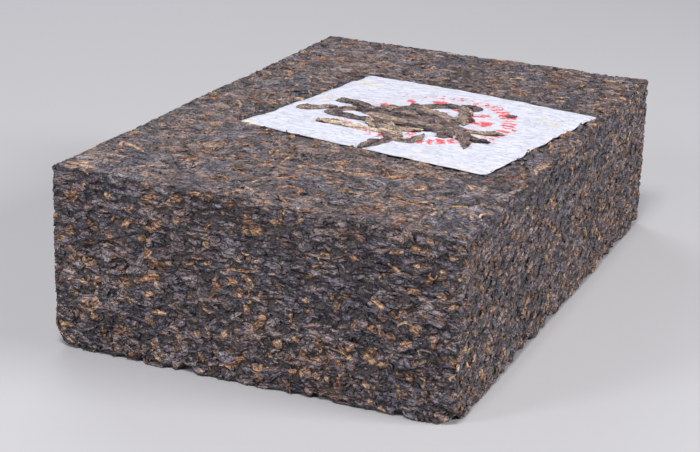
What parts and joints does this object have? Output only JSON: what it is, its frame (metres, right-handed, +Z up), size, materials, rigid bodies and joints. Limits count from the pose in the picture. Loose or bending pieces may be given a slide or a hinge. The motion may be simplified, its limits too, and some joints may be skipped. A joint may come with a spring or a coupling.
{
  "type": "pu erh tea brick",
  "caption": "Rectangular block of pressed aged tea leaves that rests flat, with a square paper ticket set into its top and leaves pressed over it.",
  "frame": {"origin": "middle of the flat underside, under the middle of the block", "axes": "+X across the block's width, +Y along its length, away from the short face shown in front, +Z up out of the face that holds the ticket"},
  "size_m": [0.0933, 0.1463, 0.0418],
  "materials": {
    "pressed_leaf": "dark brown and charcoal pressed tea leaf with tan and golden flakes, matt with a faint sheen",
    "ticket_paper": "thin soft white paper, finely wrinkled, with a red ring of plain marks",
    "ticket_leaf": "dark brown pressed leaf strands, one of them tan"
  },
  "bodies": {
    "root": {"brick": "pressed_leaf", "ticket": "ticket_paper", "leaf_cluster": "ticket_leaf", "leaf_curl_left": "ticket_leaf", "leaf_bit_right": "ticket_leaf"}
  },
  "joints": []
}
